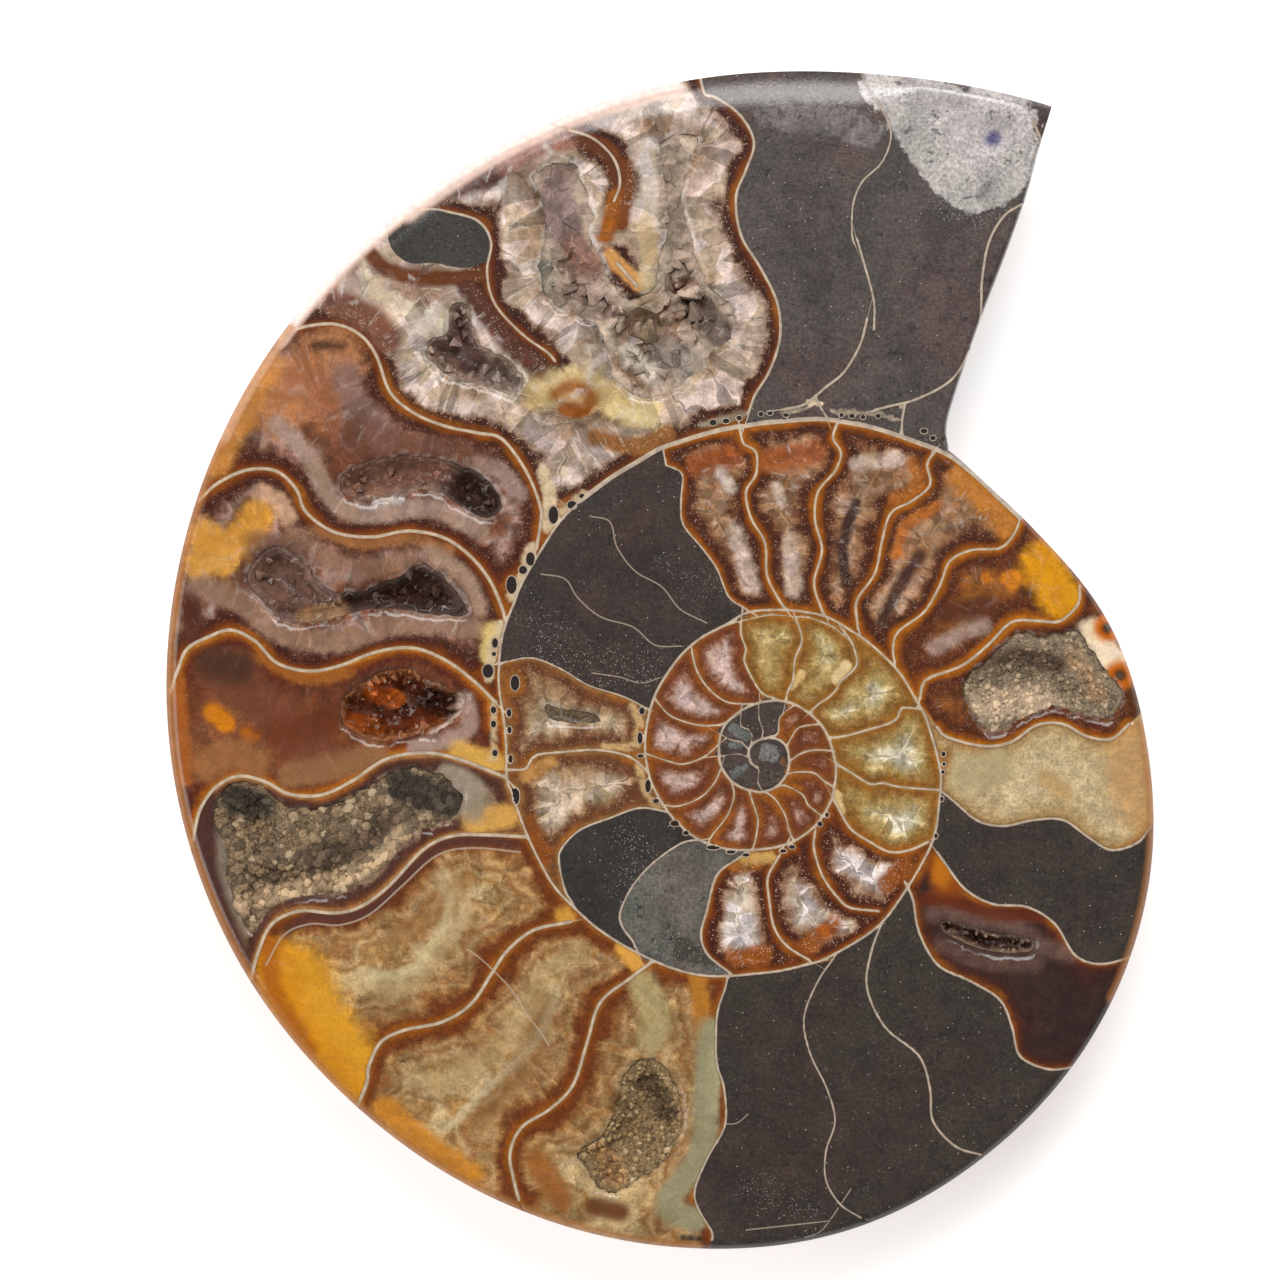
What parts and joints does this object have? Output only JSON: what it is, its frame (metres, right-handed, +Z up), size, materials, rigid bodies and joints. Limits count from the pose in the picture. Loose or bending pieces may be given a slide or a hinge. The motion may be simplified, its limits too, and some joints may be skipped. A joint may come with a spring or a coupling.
{
  "type": "polished ammonite half",
  "caption": "Coiled fossil shell sawn through its middle plane and polished, with walled chambers and crystal-lined hollows, lying on its outer flank.",
  "frame": {"origin": "under the middle of the bounding box, on the plane that the flat spot of the flank rests on", "axes": "+Z up, out of the polished sawn face; +Y towards the mouth end of the coil; the face's length runs along Y"},
  "size_m": [0.0987, 0.1179, 0.015],
  "materials": {
    "shell": "polished",
    "crystals": "glossy crystals",
    "sand": "rough cemented grains"
  },
  "bodies": {
    "root": {"shell_half": "shell", "crust_great_hollow": "crystals", "crust_third_chamber": "crystals", "crust_fourth_chamber": "crystals", "crust_fifth_chamber": "crystals", "crust_sixth_chamber": "crystals", "crust_seventh_chamber": "sand", "crust_tenth_chamber": "sand", "crust_fifteenth_chamber": "crystals", "crust_eighteenth_chamber": "sand", "crust_inner_whorl": "crystals"}
  },
  "joints": []
}
